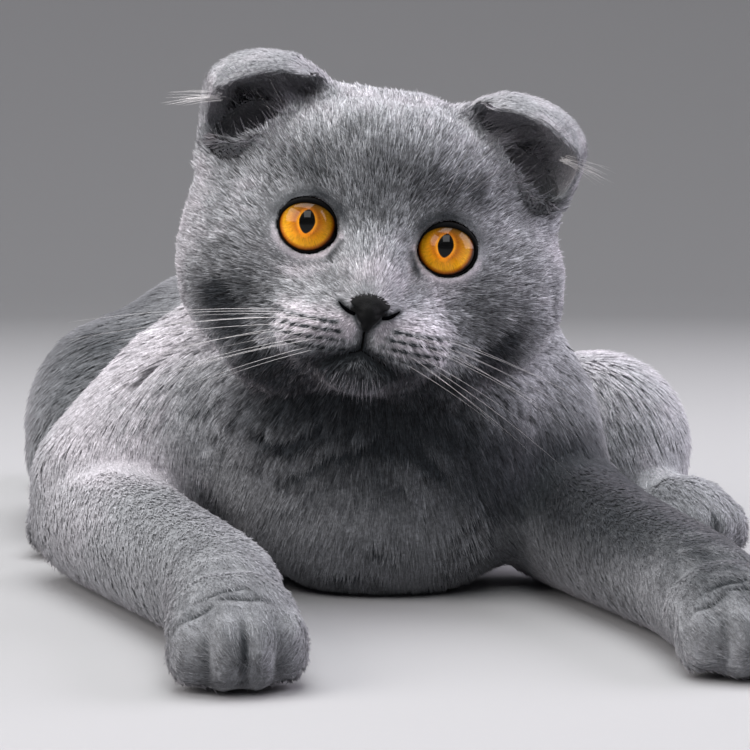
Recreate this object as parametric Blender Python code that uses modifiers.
"""A life-size still model of a Scottish fold cat, lying with its forelegs stretched out in front.

Metres, +Z up. The cat faces -Y, and its own left is at +X. The parts are first placed round the
point on the floor below the middle of the eyes, and are moved at the end so that the origin is
at the bottom centre of the whole.
"""

import math

import bmesh
import bpy
import numpy as np
from mathutils import Euler, Matrix, Vector

# Driving dimensions.
PUPIL_SPAN = 0.042
HEAD_WIDTH = 0.120
EYE_HEIGHT = 0.1127
EYE_RADIUS = 0.0103
HEAD_ROLL = math.radians(10.0)
HEAD_YAW = math.radians(3.0)
TRUNK_HALF_WIDTH = 0.066
BACK_HEIGHT = 0.101
SHOULDER_SETBACK = 0.072
RUMP_SETBACK = 0.232
RUMP_SIDESTEP = -0.045
FOREARM_RADIUS = 0.0185
PAW_HALF_WIDTH = 0.0185
TAIL_RADIUS = 0.0150
CORNEA_RADIUS = 0.0086
CORNEA_BULGE = 0.0009
LID = 0.0014
LID_HALF_WIDTH = 0.0087
LID_HALF_HEIGHT = 0.0079
LID_OPENING_DEPTH = 0.0032
LID_FLARE_LENGTH = 0.0275
LID_FLARE = 2.0
MOUTH_DEPTH = 0.0012
MOUTH_WIDTH = 0.0009
EAR_THICKNESS = 0.0026
NECK_CUT_POINT = (0.0, 0.062, 0.072)
NECK_CUT_NORMAL = (0.0, -0.62, 0.78)
GAP = 0.0003

# How finely the flesh is made, and how many triangles each part keeps.
BODY_VOXEL = 0.0022
HEAD_VOXEL = 0.0014
BODY_TRIANGLES = 3800
HEAD_TRIANGLES = 2700
NOSE_TRIANGLES = 220
NOSE_VOXEL = 0.0005
LID_STEPS = 40
EAR_STEPS_ROUND = 14
EAR_STEPS_UP = 8
CUTTER_VOXEL = 0.0040
CUTTER_TRIANGLES = 240


def clear_scene():
    for thing in list(bpy.data.objects):
        bpy.data.objects.remove(thing, do_unlink=True)


def new_collection(name):
    made = bpy.data.collections.new(name)
    bpy.context.scene.collection.children.link(made)
    return made


def finish(name, colour, roughness):
    """A Principled material."""
    material = bpy.data.materials.new(name)
    material.use_nodes = True
    shader = material.node_tree.nodes["Principled BSDF"]
    shader.inputs["Base Color"].default_value = (*colour, 1.0)
    shader.inputs["Roughness"].default_value = roughness
    shader.inputs["Metallic"].default_value = 0.0
    return material


def ball(forms, centre, radii, turn=(0.0, 0.0, 0.0)):
    """Adds the place of an ellipsoid to the list, turned by degrees about X, Y and Z."""
    angles = Euler([math.radians(angle) for angle in turn])
    forms.append(
        Matrix.Translation(centre) @ angles.to_matrix().to_4x4() @ Matrix.Diagonal((*radii, 1.0))
    )


def limb(forms, joints, step=0.35):
    """Adds a tapered, rounded run of balls through the joints, each ((x, y, z), radius)."""
    for (start, first), (end, last) in zip(joints, joints[1:]):
        start = Vector(start)
        end = Vector(end)
        count = max(2, math.ceil((end - start).length / (step * min(first, last))))
        for i in range(count + 1):
            share = i / count
            radius = first + (last - first) * share
            ball(forms, start.lerp(end, share), (radius,) * 3)


def mirrored(centre):
    return (-centre[0], centre[1], centre[2])


def placed_object(name, mesh, collection):
    made = bpy.data.objects.new(name, mesh)
    collection.objects.link(made)
    return made


def from_bmesh(name, shape, collection):
    mesh = bpy.data.meshes.new(name)
    shape.to_mesh(mesh)
    shape.free()
    return placed_object(name, mesh, collection)


def applied(thing):
    """Replaces the object's mesh by the mesh that its modifiers make."""
    graph = bpy.context.evaluated_depsgraph_get()
    thing.data = bpy.data.meshes.new_from_object(thing.evaluated_get(graph))
    thing.modifiers.clear()
    return thing


def corners(thing):
    """The mesh's points as an array of rows."""
    flat = np.empty(len(thing.data.vertices) * 3)
    thing.data.vertices.foreach_get("co", flat)
    return flat.reshape(-1, 3)


def weigh(thing, name, weight_at):
    """A vertex group whose weights are worked out from the points' places."""
    group = thing.vertex_groups.new(name=name)
    for index, weight in enumerate(weight_at(corners(thing))):
        group.add([index], float(weight), "REPLACE")


def fused(name, forms, collection, voxel, rounds, softness=None, base=None):
    """One closed, smoothed skin round overlapping ellipsoids and a base, by a voxel remesh."""
    template = bmesh.new()
    bmesh.ops.create_uvsphere(template, u_segments=28, v_segments=16, radius=1.0)
    sphere = bpy.data.meshes.new("sphere")
    template.to_mesh(sphere)
    template.free()
    shape = bmesh.new()
    for place in forms:
        copy = sphere.copy()
        copy.transform(place)
        shape.from_mesh(copy)
        bpy.data.meshes.remove(copy)
    if base:
        shape.from_mesh(base.data)
    thing = from_bmesh(name, shape, collection)
    remesh = thing.modifiers.new("remesh", "REMESH")
    remesh.mode = "VOXEL"
    remesh.voxel_size = voxel
    applied(thing)
    smooth = thing.modifiers.new("smooth", "SMOOTH")
    smooth.factor = 0.5
    smooth.iterations = rounds
    if softness:
        weigh(thing, "softness", softness)
        smooth.vertex_group = "softness"
    applied(thing)
    thing.vertex_groups.clear()
    return thing


def thinned(thing, triangles, coarseness=None):
    """Collapses edges until about this many triangles are left."""
    count = sum(len(face.vertices) - 2 for face in thing.data.polygons)
    decimate = thing.modifiers.new("thin", "DECIMATE")
    decimate.ratio = min(1.0, triangles / count)
    decimate.use_collapse_triangulate = True
    if coarseness:
        weigh(thing, "coarseness", coarseness)
        decimate.vertex_group = "coarseness"
    applied(thing)
    thing.vertex_groups.clear()
    return thing


def only_largest(thing):
    """Keeps the largest closed surface of the mesh and drops loose scraps."""
    shape = bmesh.new()
    shape.from_mesh(thing.data)
    unseen = set(shape.verts)
    shells = []
    while unseen:
        shell = {unseen.pop()}
        edge_of_shell = list(shell)
        while edge_of_shell:
            vertex = edge_of_shell.pop()
            for edge in vertex.link_edges:
                other = edge.other_vert(vertex)
                if other in unseen:
                    unseen.discard(other)
                    shell.add(other)
                    edge_of_shell.append(other)
        shells.append(shell)
    kept = max(shells, key=len)
    bmesh.ops.delete(shape, geom=[v for v in shape.verts if v not in kept], context="VERTS")
    shape.to_mesh(thing.data)
    shape.free()
    return thing


def combined(thing, cutter, operation):
    """Applies a Boolean of the cutter to the object."""
    boolean = thing.modifiers.new("boolean", "BOOLEAN")
    boolean.operation = operation
    boolean.object = cutter
    applied(thing)
    return only_largest(thing)


def swollen(thing, name, distance, collection):
    """A copy of the object whose surface stands off by a distance."""
    copy = placed_object(name, thing.data.copy(), collection)
    displace = copy.modifiers.new("swell", "DISPLACE")
    displace.strength = distance
    displace.mid_level = 0.0
    return applied(copy)


def copy_of(thing, name, collection):
    return placed_object(name, thing.data.copy(), collection)


def split_by_plane(thing, point, normal):
    """Cuts an object with a plane into two closed halves, a gap apart: (behind, ahead of the normal)."""
    normal = Vector(normal).normalized()
    halves = []
    for side in (-1.0, 1.0):
        shape = bmesh.new()
        shape.from_mesh(thing.data)
        bmesh.ops.bisect_plane(
            shape,
            geom=shape.verts[:] + shape.edges[:] + shape.faces[:],
            plane_co=Vector(point) + normal * side * GAP / 2,
            plane_no=normal,
            clear_outer=side < 0,
            clear_inner=side > 0,
            dist=1e-7,
        )
        rim = [edge for edge in shape.edges if edge.is_boundary]
        bmesh.ops.triangle_fill(shape, edges=rim, use_beauty=True)
        bmesh.ops.recalc_face_normals(shape, faces=shape.faces)
        halves.append(shape)
    return halves


clear_scene()
cat = new_collection("scottish_fold_cat")
workshop = new_collection("workshop")
workshop.hide_render = True

# The trunk, neck, limbs and tail are first one skin, so that they flow into each other.
SHOULDERS = Vector((-0.003, SHOULDER_SETBACK, 0.049))
RUMP = Vector((RUMP_SIDESTEP, RUMP_SETBACK, 0.049))
LOIN = SHOULDERS.lerp(RUMP, 0.5) + Vector((-0.001, 0.0, 0.0))
HIP_RIGHT = RUMP + Vector((-0.048, -0.012, -0.012))
HIP_LEFT = RUMP + Vector((0.088, -0.026, -0.010))
KNEE_LEFT = Vector((0.079, 0.168, 0.034))
KNEE_RIGHT = Vector((-0.099, 0.180, 0.031))

SHOULDER_RIGHT = SHOULDERS + Vector((-0.050, 0.004, 0.006))
SHOULDER_LEFT = SHOULDERS + Vector((0.043, 0.004, 0.004))
ELBOW_RIGHT = Vector((-0.090, 0.068, 0.0215))
WRIST_RIGHT = Vector((-0.043, -0.050, 0.0170))
PAW_RIGHT = Vector((-0.036, -0.096, 0.0140))
ELBOW_LEFT = Vector((0.060, 0.064, 0.0220))
WRIST_LEFT = Vector((0.087, -0.034, 0.0170))
PAW_LEFT = Vector((0.095, -0.079, 0.0140))

HOCK_RIGHT = Vector((-0.100, 0.232, 0.018))
TOES_RIGHT = Vector((-0.103, 0.130, 0.0140))
HOCK_LEFT = Vector((0.078, 0.212, 0.018))
TOES_LEFT = Vector((0.108, 0.118, 0.0140))

TAIL_PATH = [
    ((-0.048, 0.270, 0.040), 1.25),
    ((-0.052, 0.306, 0.026), 1.20),
    ((-0.066, 0.341, 0.0160), 1.12),
    ((-0.094, 0.362, 0.0145), 1.05),
    ((-0.122, 0.352, 0.0140), 1.0),
    ((-0.134, 0.322, 0.0130), 0.92),
    ((-0.127, 0.296, 0.0115), 0.75),
]


def add_trunk(forms):
    """Chest, shoulders, loin, belly, rump and thighs."""
    half = TRUNK_HALF_WIDTH
    ball(forms, SHOULDERS, (0.88 * half, 0.052, 0.053))
    ball(forms, SHOULDERS + Vector((0.006, -0.020, -0.016)), (0.76 * half, 0.036, 0.038))
    ball(forms, SHOULDERS + Vector((-0.003, 0.024, 0.019)), (0.70 * half, 0.046, 0.037))
    ball(forms, LOIN, (0.98 * half, 0.080, 0.055))
    ball(forms, LOIN + Vector((0.008, -0.004, -0.022)), (1.03 * half, 0.084, 0.036))
    limb(forms, [(SHOULDERS + Vector((0, 0.020, 0.002)), 0.050), (RUMP + Vector((0, 0, 0.001)), 0.052)])
    ball(forms, RUMP, (half, half, BACK_HEIGHT - RUMP.z + 0.001))
    ball(forms, HIP_RIGHT, (0.043, 0.062, 0.045))
    ball(forms, HIP_LEFT, (0.042, 0.056, 0.042))
    ball(forms, KNEE_LEFT, (0.038, 0.038, 0.037))
    ball(forms, KNEE_RIGHT, (0.032, 0.038, 0.033))
    limb(forms, [(SHOULDER_RIGHT, 0.036), (ELBOW_RIGHT + Vector((0.002, 0.004, 0.011)), 0.026)])
    limb(forms, [(SHOULDER_LEFT, 0.034), (ELBOW_LEFT + Vector((-0.006, 0.004, 0.008)), 0.024)])


def add_neck(forms):
    """The thick neck and the ruff under the jaw, which is as wide as the head."""
    ball(forms, (-0.003, 0.070, 0.076), (0.064, 0.047, 0.041))
    ball(forms, (0.001, 0.074, 0.096), (0.048, 0.040, 0.036))
    ball(forms, (0.001, 0.042, 0.062), (0.050, 0.032, 0.032))


def add_foreleg(forms, elbow, wrist, paw):
    """The forearm along the floor, and the wrist."""
    limb(
        forms,
        [
            (elbow, 0.0230),
            (elbow.lerp(wrist, 0.45) + Vector((0, 0, -0.001)), FOREARM_RADIUS * 1.06),
            (wrist, FOREARM_RADIUS * 0.93),
            (wrist.lerp(paw, 0.6), FOREARM_RADIUS * 0.88),
        ],
    )


def add_paw(forms, wrist, paw):
    """A rounded paw with four toes, the middle two standing out furthest."""
    ahead = paw - wrist
    ahead.z = 0.0
    ahead.normalize()
    aside = Vector((-ahead.y, ahead.x, 0.0))
    turn = math.degrees(math.atan2(aside.y, aside.x))
    ball(forms, paw - ahead * 0.004, (PAW_HALF_WIDTH * 0.98, 0.0210, 0.0150), turn=(0, 0, turn))
    for order in (-1.5, -0.5, 0.5, 1.5):
        outer = abs(order) - 0.5
        centre = paw + ahead * (0.0138 - 0.0055 * outer) + aside * (order * 0.0087)
        centre.z = 0.0106
        size = 1.0 - 0.08 * outer
        radii = (0.0062 * size, 0.0105, 0.0112 * size)
        ball(forms, centre, radii, turn=(0, 0, turn + order * -7.0))


def add_hind_foot(forms, hock, toes):
    """The long hind foot, flat on the floor from the hock to the toes."""
    limb(
        forms,
        [
            (hock, 0.0175),
            (hock.lerp(toes, 0.45), 0.0155),
            (hock.lerp(toes, 0.85), 0.0150),
        ],
    )


def tail_joints():
    """The tail's smooth path, worked out through its named bends by a Catmull-Rom curve."""
    places = [Vector(place) for place, _ in TAIL_PATH]
    sizes = [size for _, size in TAIL_PATH]
    joints = []
    steps = 5
    last = len(places) - 1
    for i in range(last):
        before = places[max(i - 1, 0)]
        after = places[min(i + 2, last)]
        for k in range(steps):
            t = k / steps
            place = 0.5 * (
                2 * places[i]
                + (places[i + 1] - before) * t
                + (2 * before - 5 * places[i] + 4 * places[i + 1] - after) * t**2
                + (3 * places[i] - before - 3 * places[i + 1] + after) * t**3
            )
            joints.append((place, TAIL_RADIUS * (sizes[i] + (sizes[i + 1] - sizes[i]) * t)))
    joints.append((places[-1], TAIL_RADIUS * sizes[-1]))
    return joints


def near_paws(points):
    """1 at the toes and wrists, falling to 0 a few centimetres away."""
    nearness = np.zeros(len(points))
    for place in (PAW_RIGHT, PAW_LEFT, TOES_RIGHT, TOES_LEFT):
        away = np.linalg.norm(points - np.array(place), axis=1)
        nearness = np.maximum(nearness, np.clip((0.050 - away) / 0.020, 0, 1))
    return nearness


trunk = []
add_trunk(trunk)
add_neck(trunk)
mass = fused("mass", trunk, workshop, BODY_VOXEL, 50)
limbs = []
add_foreleg(limbs, ELBOW_RIGHT, WRIST_RIGHT, PAW_RIGHT)
add_foreleg(limbs, ELBOW_LEFT, WRIST_LEFT, PAW_LEFT)
add_paw(limbs, WRIST_RIGHT, PAW_RIGHT)
add_paw(limbs, WRIST_LEFT, PAW_LEFT)
add_hind_foot(limbs, HOCK_RIGHT, TOES_RIGHT)
add_hind_foot(limbs, HOCK_LEFT, TOES_LEFT)
add_paw(limbs, HOCK_RIGHT, TOES_RIGHT)
add_paw(limbs, HOCK_LEFT, TOES_LEFT)
tail = tail_joints()
limb(limbs, tail)
flesh = fused(
    "flesh",
    limbs,
    workshop,
    BODY_VOXEL,
    14,
    softness=lambda points: 1.0 - 0.86 * near_paws(points),
    base=mass,
)
thinned(flesh, BODY_TRIANGLES)

# The head is made round the middle of the eyes, upright, and then tilted into place.
HEAD_PLACE = (
    Matrix.Translation((0.001, 0.0, EYE_HEIGHT))
    @ Matrix.Rotation(HEAD_ROLL, 4, "Y")
    @ Matrix.Rotation(HEAD_YAW, 4, "Z")
)
HALF_HEAD = HEAD_WIDTH / 2
EYE_CENTRE = (PUPIL_SPAN / 2, EYE_RADIUS + 0.0004, 0.0)
FACE_MIDDLE = (0.0, -0.002, -0.010)
FACE_REACH = (0.034, 0.022, 0.034)


def both_sides(forms, centre, radii, turn=(0.0, 0.0, 0.0)):
    """A form on each side of the head."""
    ball(forms, centre, radii, turn)
    ball(forms, mirrored(centre), radii, (turn[0], -turn[1], -turn[2]))


def add_skull(forms):
    """The broad round skull, full cheeks and jowls, and the root of the muzzle."""
    ball(forms, (0, 0.0430, 0.0040), (0.88 * HALF_HEAD, 0.0440, 0.0435))
    both_sides(forms, (0.47 * HALF_HEAD, 0.0345, -0.0130), (0.0337, 0.0315, 0.0310))
    both_sides(forms, (0.0350, 0.0390, 0.0185), (0.0205, 0.0225, 0.0205))
    both_sides(forms, (0.0180, 0.0270, -0.0300), (0.0280, 0.0275, 0.0240))
    ball(forms, (0, 0.0215, 0.0195), (0.0350, 0.0228, 0.0225))
    ball(forms, (0, 0.0090, -0.0270), (0.0290, 0.0240, 0.0205))


def add_muzzle(forms):
    """The lids' bulges, short nose bridge, rounded whisker pads and chin."""
    both_sides(forms, EYE_CENTRE, (EYE_RADIUS + LID,) * 3)
    both_sides(forms, (0.0118, -0.0062, -0.0288), (0.0150, 0.0125, 0.0102), turn=(0, 12, 0))
    limb(
        forms,
        [
            ((0, 0.0112, 0.0030), 0.0108),
            ((0, -0.0056, -0.0125), 0.0100),
            ((0, -0.0118, -0.0178), 0.0082),
        ],
    )
    ball(forms, (0, -0.0030, -0.0375), (0.0130, 0.0118, 0.0092))


def sphere(name, centre, radii, collection, segments=24, rings=14, turn=(0.0, 0.0, 0.0)):
    """A closed ellipsoid as an object of its own."""
    places = []
    ball(places, centre, radii, turn)
    shape = bmesh.new()
    bmesh.ops.create_uvsphere(shape, u_segments=segments, v_segments=rings, radius=1.0)
    bmesh.ops.transform(shape, matrix=places[0], verts=shape.verts)
    bmesh.ops.triangulate(shape, faces=shape.faces)
    return from_bmesh(name, shape, collection)


def prism(name, outline, front, back, collection, flare=1.0):
    """A closed prism whose outline, given in x and z, is pulled along y and widened at the front."""
    shape = bmesh.new()
    ring = [shape.verts.new((x, front, z)) for x, z in outline]
    face = shape.faces.new(ring)
    pulled = bmesh.ops.extrude_face_region(shape, geom=[face])
    moved = [item for item in pulled["geom"] if isinstance(item, bmesh.types.BMVert)]
    bmesh.ops.translate(shape, verts=moved, vec=(0.0, back - front, 0.0))
    middle = sum((vertex.co for vertex in ring), Vector()) / len(ring)
    widen = Matrix.Diagonal((flare, 1.0, flare, 1.0))
    to_middle = Matrix.Translation(-middle)
    bmesh.ops.transform(shape, matrix=widen, space=to_middle, verts=ring)
    bmesh.ops.triangulate(shape, faces=shape.faces)
    bmesh.ops.recalc_face_normals(shape, faces=shape.faces)
    return from_bmesh(name, shape, collection)


def lid_outline(side):
    """The opening between the lids: nearly round, drawn out a little at the inner corner."""
    points = []
    for k in range(LID_STEPS):
        angle = 2 * math.pi * k / LID_STEPS
        from_corner = math.remainder(angle - math.radians(200.0), 2 * math.pi)
        drawn = 1.0 + 0.13 * math.exp(-((from_corner / 0.28) ** 2))
        x = 0.85 * LID_HALF_WIDTH * drawn * math.cos(angle)
        z = 0.85 * LID_HALF_HEIGHT * drawn * math.sin(angle)
        points.append((side * (PUPIL_SPAN / 2 + x), z))
    return points


def ribbon_outline(path, width):
    """A closed outline this wide round an open path in x and z."""
    points = [Vector(point) for point in path]
    near = []
    far = []
    for i, point in enumerate(points):
        along = points[min(i + 1, len(points) - 1)] - points[max(i - 1, 0)]
        across = Vector((-along.y, along.x)).normalized() * width / 2
        near.append(tuple(point + across))
        far.append(tuple(point - across))
    return near + far[::-1]


face = []
add_skull(face)
crown = fused("crown", face, workshop, HEAD_VOXEL, 50)
muzzle = []
add_muzzle(muzzle)
head = fused("head", muzzle, cat, HEAD_VOXEL, 16, base=crown)


def away_from_face(points):
    """0 round the eyes, nose and mouth, rising to 1 over the rest of the head."""
    away = np.linalg.norm((points - np.array(FACE_MIDDLE)) / np.array(FACE_REACH), axis=1)
    return np.clip((away - 0.8) / 1.6, 0.12, 1.0)


thinned(head, HEAD_TRIANGLES, coarseness=away_from_face)
solid_head = copy_of(head, "solid_head", workshop)

# The eyeballs, each a ball with the clear dome of the cornea standing out in front.
for side_name, side in (("left", 1.0), ("right", -1.0)):
    centre = (side * EYE_CENTRE[0], EYE_CENTRE[1], EYE_CENTRE[2])
    eye = sphere("eye_" + side_name, (0, 0, 0), (EYE_RADIUS,) * 3, cat, 22, 13, turn=(90, 0, 0))
    for vertex in eye.data.vertices:
        from_axis = math.hypot(vertex.co.x, vertex.co.z) / CORNEA_RADIUS
        if vertex.co.y < 0 and from_axis < 1.0:
            vertex.co.y -= CORNEA_BULGE * (1.0 - from_axis**2) ** 1.5
    eye.data.transform(Matrix.Translation(centre))
    combined(head, swollen(eye, "eye_room", GAP, workshop), "DIFFERENCE")
    back = centre[1] - LID_OPENING_DEPTH
    front = back - LID_FLARE_LENGTH
    opening = prism("lid_opening", lid_outline(side), front, back, workshop, flare=LID_FLARE)
    combined(head, opening, "DIFFERENCE")

# The bare nose leather, a wedge drawn in to a point below, with its two nostrils.
leather = []
ball(leather, (0, -0.0172, -0.0188), (0.0066, 0.0046, 0.0032))
ball(leather, (0, -0.0184, -0.0212), (0.0044, 0.0046, 0.0040))
ball(leather, (0, -0.0172, -0.0242), (0.0022, 0.0040, 0.0030))
both_sides(leather, (0.0046, -0.0160, -0.0196), (0.0029, 0.0044, 0.0027))
nose = fused("nose", leather, cat, NOSE_VOXEL, 5)
thinned(nose, NOSE_TRIANGLES)
combined(head, swollen(nose, "nose_room", GAP, workshop), "DIFFERENCE")
for side in (1.0, -1.0):
    hollow = []
    inner = (side * 0.0028, -0.0222, -0.0218)
    middle = (side * 0.0052, -0.0200, -0.0214)
    outer = (side * 0.0086, -0.0148, -0.0190)
    limb(hollow, [(inner, 0.0009), (middle, 0.0012), (outer, 0.0008)], step=0.5)
    nostril = fused("nostril", hollow, workshop, NOSE_VOXEL * 0.8, 2)
    thinned(nostril, 160)
    combined(nose, nostril, "DIFFERENCE")
    combined(head, nostril, "DIFFERENCE")

# The groove under the nose and the line of the mouth between the lips.
core = swollen(solid_head, "core", -MOUTH_DEPTH, workshop)
for path in (
    [(0.0, -0.0262), (0.0, -0.0322)],
    [(0.0004, -0.0318), (0.0050, -0.0348), (0.0100, -0.0374), (0.0148, -0.0378)],
    [(-0.0004, -0.0318), (-0.0050, -0.0348), (-0.0100, -0.0374), (-0.0148, -0.0378)],
):
    blade = prism("blade", ribbon_outline(path, MOUTH_WIDTH), -0.040, 0.012, workshop)
    combined(blade, core, "DIFFERENCE")
    combined(head, blade, "DIFFERENCE")

# The folded ears: each a hood that rises from the skull behind the cup and folds forward over it.
EAR_BASE = [
    (0.0200, 0.0300, 0.0395),
    (0.0270, 0.0380, 0.0385),
    (0.0370, 0.0450, 0.0335),
    (0.0450, 0.0450, 0.0260),
    (0.0480, 0.0400, 0.0180),
    (0.0480, 0.0340, 0.0130),
]
EAR_CREASE = [
    (0.0190, 0.0270, 0.0450),
    (0.0280, 0.0320, 0.0482),
    (0.0395, 0.0350, 0.0485),
    (0.0500, 0.0355, 0.0455),
    (0.0570, 0.0330, 0.0360),
    (0.0530, 0.0310, 0.0170),
]
EAR_RIM = [
    (0.0245, 0.0205, 0.0425),
    (0.0300, 0.0190, 0.0432),
    (0.0400, 0.0170, 0.0425),
    (0.0495, 0.0180, 0.0375),
    (0.0560, 0.0235, 0.0310),
    (0.0500, 0.0270, 0.0160),
]


def along(row, share):
    """A smooth way through a row of named places, from 0 at the first to 1 at the last."""
    at = share * (len(row) - 1)
    i = min(int(at), len(row) - 2)
    t = at - i
    spots = [Vector(spot) for spot in row]
    before = spots[max(i - 1, 0)]
    after = spots[min(i + 2, len(row) - 1)]
    return 0.5 * (
        2 * spots[i]
        + (spots[i + 1] - before) * t
        + (2 * before - 5 * spots[i] + 4 * spots[i + 1] - after) * t**2
        + (3 * spots[i] - before - 3 * spots[i + 1] + after) * t**3
    )


def ear_point(share, height):
    """A place on the ear's flap: share runs round the cup, height from the skull to the rim."""
    base = along(EAR_BASE, share)
    rim = along(EAR_RIM, share)
    bend = 2 * along(EAR_CREASE, share) - (base + rim) / 2
    return (1 - height) ** 2 * base + 2 * height * (1 - height) * bend + height**2 * rim


def add_ear(name, side):
    """One ear: a sheet moved to the flap's shape, thickened and closed."""
    shape = bmesh.new()
    bmesh.ops.create_grid(shape, x_segments=EAR_STEPS_ROUND, y_segments=EAR_STEPS_UP, size=0.5)
    for vertex in shape.verts:
        place = ear_point(vertex.co.x + 0.5, vertex.co.y + 0.5)
        vertex.co = Vector((side * place.x, place.y, place.z))
    bmesh.ops.recalc_face_normals(shape, faces=shape.faces)
    bmesh.ops.triangulate(shape, faces=shape.faces)
    ear = from_bmesh(name, shape, cat)
    thicken = ear.modifiers.new("thicken", "SOLIDIFY")
    thicken.thickness = EAR_THICKNESS
    thicken.offset = 0.0
    applied(ear)
    shape = bmesh.new()
    shape.from_mesh(ear.data)
    bmesh.ops.triangulate(shape, faces=shape.faces)
    bmesh.ops.recalc_face_normals(shape, faces=shape.faces)
    shape.to_mesh(ear.data)
    shape.free()
    return ear


ear_room = swollen(solid_head, "ear_room", GAP, workshop)
for side_name, side in (("left", 1.0), ("right", -1.0)):
    ear = add_ear("ear_" + side_name, side)
    combined(ear, ear_room, "DIFFERENCE")
    cup = sphere("cup", (side * 0.0405, 0.0300, 0.0270), (0.0105, 0.0100, 0.0110), workshop, 14, 9)
    combined(head, cup, "DIFFERENCE")

for thing in [*cat.objects, solid_head]:
    thing.data.transform(HEAD_PLACE)
combined(flesh, swollen(solid_head, "head_socket", GAP, workshop), "DIFFERENCE")


def parted(name, joints, extra=()):
    """Cuts a limb out of the flesh with a thicker limb-shaped cutter, leaving a gap."""
    forms = []
    limb(forms, joints)
    for centre, radii in extra:
        ball(forms, centre, radii)
    cutter = thinned(fused(name + "_cutter", forms, workshop, CUTTER_VOXEL, 6), CUTTER_TRIANGLES)
    piece = combined(copy_of(flesh, name, cat), cutter, "INTERSECT")
    combined(flesh, swollen(cutter, name + "_room", GAP, workshop), "DIFFERENCE")
    return piece


def divided(thing, point, normal, name_behind, name_ahead):
    """Divides an object in two across a plane and gives the halves their names."""
    behind, ahead = split_by_plane(thing, point, normal)
    bpy.data.objects.remove(thing, do_unlink=True)
    return from_bmesh(name_behind, behind, cat), from_bmesh(name_ahead, ahead, cat)


# The limbs and tail are parted from the trunk where they join it.
for side_name, elbow, wrist, paw in (
    ("left", ELBOW_LEFT, WRIST_LEFT, PAW_LEFT),
    ("right", ELBOW_RIGHT, WRIST_RIGHT, PAW_RIGHT),
):
    heading = (paw - wrist).normalized()
    leg = parted(
        "foreleg_" + side_name,
        [
            (elbow + Vector((0, 0.004, 0.004)), 0.031),
            (elbow.lerp(wrist, 0.5), 0.027),
            (wrist, 0.025),
            (paw, 0.027),
            (paw + heading * 0.018, 0.024),
        ],
    )
    divided(leg, wrist + heading * 0.006, heading, "foreleg_" + side_name, "forepaw_" + side_name)

for side_name, hip, knee, hock, toes in (
    ("left", HIP_LEFT, KNEE_LEFT, HOCK_LEFT, TOES_LEFT),
    ("right", HIP_RIGHT, KNEE_RIGHT, HOCK_RIGHT, TOES_RIGHT),
):
    heading = (toes - hock).normalized()
    leg = parted(
        "hindleg_" + side_name,
        [(knee, 0.043), (hock.lerp(toes, 0.6), 0.028), (toes, 0.027), (toes + heading * 0.018, 0.024)],
        extra=[(hip + Vector((0.006 if side_name == "left" else -0.006, 0, 0)), (0.044, 0.066, 0.056))],
    )
    divided(leg, toes - heading * 0.013, heading, "hindleg_" + side_name, "hindfoot_" + side_name)

root = 3
tail_piece = parted("tail_base", [(place, size * 1.5) for place, size in tail[root:]])
for point_index, name_behind, name_ahead in ((15, "tail_base", "tail_middle"), (23, "tail_middle", "tail_tip")):
    place = tail[point_index][0]
    heading = (tail[point_index + 1][0] - tail[point_index - 1][0]).normalized()
    tail_piece = divided(tail_piece, place, heading, name_behind, name_ahead)[1]

neck_cut = NECK_CUT_POINT, NECK_CUT_NORMAL
divided(copy_of(flesh, "trunk", cat), *neck_cut, "torso", "neck")

# Everything rests on one floor, on small flats.
floor_cutter = bmesh.new()
bmesh.ops.create_cube(floor_cutter, size=1.0)
bmesh.ops.translate(floor_cutter, verts=floor_cutter.verts, vec=(0.0, 0.1, -0.5))
bmesh.ops.triangulate(floor_cutter, faces=floor_cutter.faces)
ground = from_bmesh("ground", floor_cutter, workshop)
for thing in list(cat.objects):
    lowest = corners(thing)[:, 2].min()
    if lowest < 0.0:
        combined(thing, ground, "DIFFERENCE")

# Every part gets its finish, and everything is moved so that the origin is at the bottom centre.
FINISHES = {
    "eye": ("amber_eye", (0.82, 0.42, 0.05), 0.08),
    "nose": ("nose_leather", (0.045, 0.045, 0.050), 0.45),
    "ear": ("ear_fur", (0.30, 0.29, 0.31), 0.90),
    "fore": ("foreleg_fur", (0.33, 0.32, 0.34), 0.90),
    "hind": ("hindleg_fur", (0.31, 0.30, 0.32), 0.90),
    "tail": ("tail_fur", (0.29, 0.28, 0.30), 0.90),
}
COAT = ("coat_fur", (0.30, 0.29, 0.31), 0.90)

low = np.min([corners(thing).min(axis=0) for thing in cat.objects], axis=0)
high = np.max([corners(thing).max(axis=0) for thing in cat.objects], axis=0)
SHIFT = Vector((-(low[0] + high[0]) / 2, -(low[1] + high[1]) / 2, -low[2]))
for thing in cat.objects:
    thing.data.transform(Matrix.Translation(SHIFT))
    kind, colour, roughness = COAT
    for start, chosen in FINISHES.items():
        if thing.name.startswith(start):
            kind, colour, roughness = chosen
    thing.data.materials.clear()
    thing.data.materials.append(finish(kind + "_" + thing.name, colour, roughness))
for thing in list(workshop.objects):
    bpy.data.objects.remove(thing, do_unlink=True)
